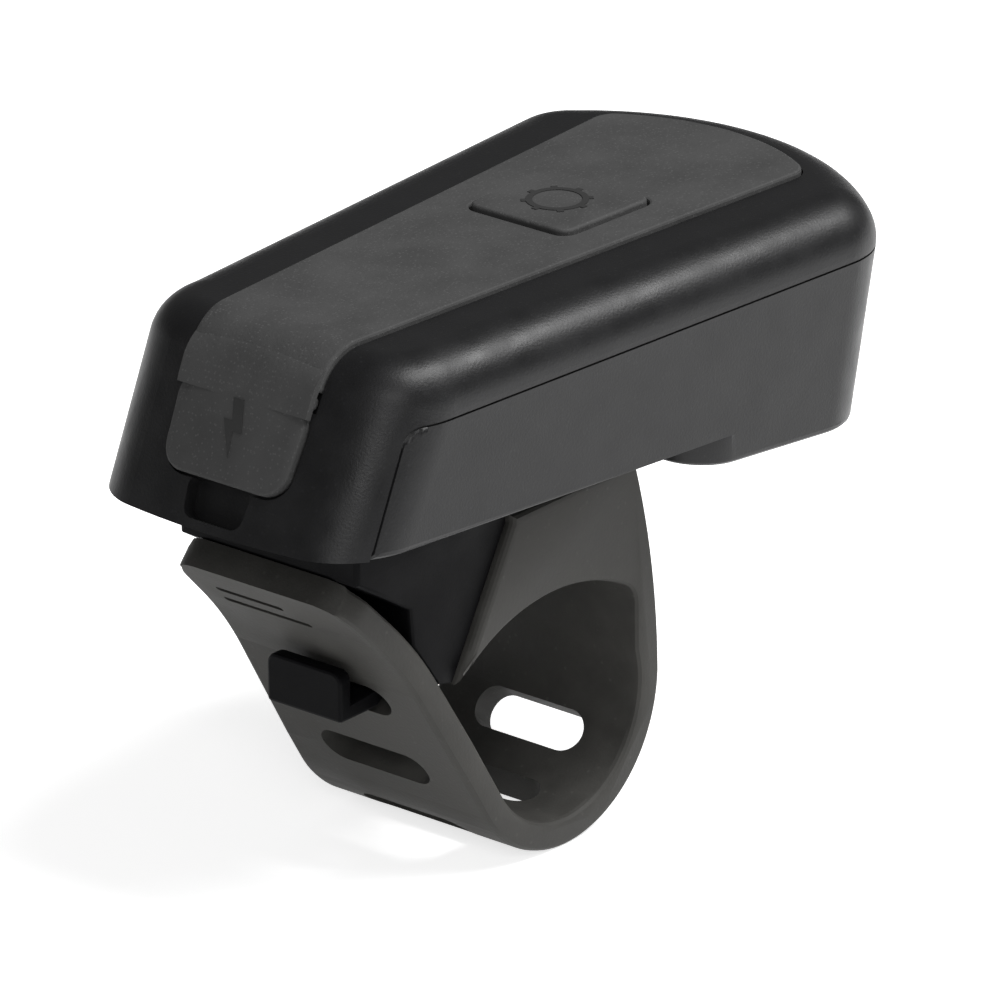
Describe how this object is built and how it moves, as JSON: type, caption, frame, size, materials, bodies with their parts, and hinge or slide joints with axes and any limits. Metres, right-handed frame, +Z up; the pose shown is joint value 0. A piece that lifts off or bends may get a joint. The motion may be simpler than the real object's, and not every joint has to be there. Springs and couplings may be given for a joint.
{
  "type": "bike headlight",
  "caption": "Rechargeable bike headlight with a button and charging-port flap, on a wedge mount with a slotted rubber handlebar strap.",
  "frame": {"origin": "on the handlebar's axis, in the middle plane of the light", "axes": "+X along the beam (forward), +Y to the rider's left along the handlebar, +Z up"},
  "size_m": [0.0969, 0.0512, 0.0695],
  "materials": {
    "housing_plastic": "satin, fine texture",
    "pad_rubber": "matt, speckled",
    "flap_rubber": "matt",
    "button_plastic": "matt, pale printed light symbol",
    "base_plastic": "satin",
    "strap_rubber": "matt",
    "component_body": "moulded",
    "board": "solder mask",
    "plated_steel": "plated",
    "cell_wrap": "foil pouch",
    "foam": "open foam",
    "wire_cover": "insulated wire",
    "emitter": "phosphor",
    "spreader_metal": "plain",
    "reflector_mirror": "metallised",
    "lens_clear": "clear",
    "seal_rubber": "matt"
  },
  "bodies": {
    "headlight": {"upper_shell": "housing_plastic", "lower_shell": "housing_plastic", "top_pad": "pad_rubber", "tact_switch": "component_body", "main_pcb": "board", "pcb_components": "component_body", "usb_socket": "plated_steel", "battery_pack": "cell_wrap", "battery_foam": "foam", "battery_leads": "wire_cover", "led_board": "board", "led_emitter": "emitter", "led_leads": "wire_cover", "heat_spreader": "spreader_metal", "reflector": "reflector_mirror", "lens": "lens_clear", "lens_bezel": "base_plastic", "lens_gasket": "seal_rubber", "housing_seal": "seal_rubber", "housing_screws": "plated_steel", "base_screws": "plated_steel", "mount_base": "base_plastic", "strap": "strap_rubber"},
    "button": {"power_button": "button_plastic", "button_plunger": "base_plastic", "switch_stem": "base_plastic"},
    "flap": {"usb_flap": "flap_rubber"}
  },
  "joints": [
    {"name": "button_press", "type": "slide", "parent": "headlight", "child": "button", "axis": [0, 0, -1], "range_m": [0, 0.0005], "stiffness_N_per_m": 3000, "springref_m": -0.0002},
    {"name": "flap_hinge", "type": "hinge", "parent": "headlight", "child": "flap", "pos_m": [-0.03617, 0, 0.04728], "axis": [0, 1, 0], "range_deg": [0, 90]}
  ]
}
